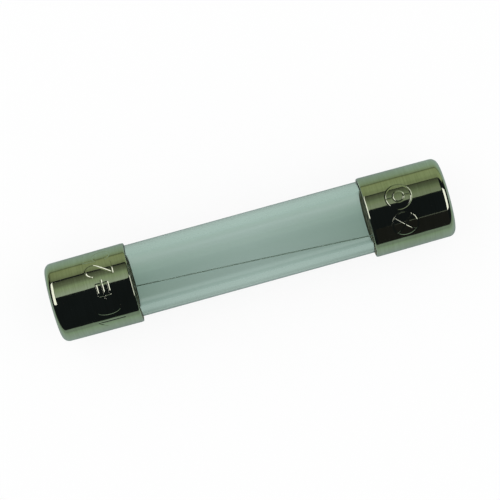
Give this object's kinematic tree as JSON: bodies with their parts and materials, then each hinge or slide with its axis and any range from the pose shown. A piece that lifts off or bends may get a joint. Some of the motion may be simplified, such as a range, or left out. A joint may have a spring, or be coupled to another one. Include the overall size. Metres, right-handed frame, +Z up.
{
  "type": "glass cartridge fuse",
  "caption": "Glass cartridge fuse: a clear tube between two plated metal end caps, with a fine wire element across it, for overcurrent protection.",
  "frame": {"origin": "middle of the fuse, on the caps' centre line", "axes": "+X along the fuse towards cap_right, +Z up, +Y across the fuse"},
  "size_m": [0.0318, 0.0064, 0.0064],
  "materials": {
    "glass": "clear drawn soda-lime tube, smooth, with a faint grey-green tint",
    "nickel_plate": "bright nickel plating on drawn brass, mirror-like with fine draw lines",
    "solder": "dull silver tin solder, as frozen",
    "tinned_wire": "fine tinned copper wire",
    "cement": "pale straw cement, matte"
  },
  "bodies": {
    "root": {"glass_tube": "glass", "fuse_element": "tinned_wire", "cap_right": "nickel_plate", "cement_right": "cement", "solder_right": "solder", "cap_left": "nickel_plate", "cement_left": "cement", "solder_left": "solder"}
  },
  "joints": []
}
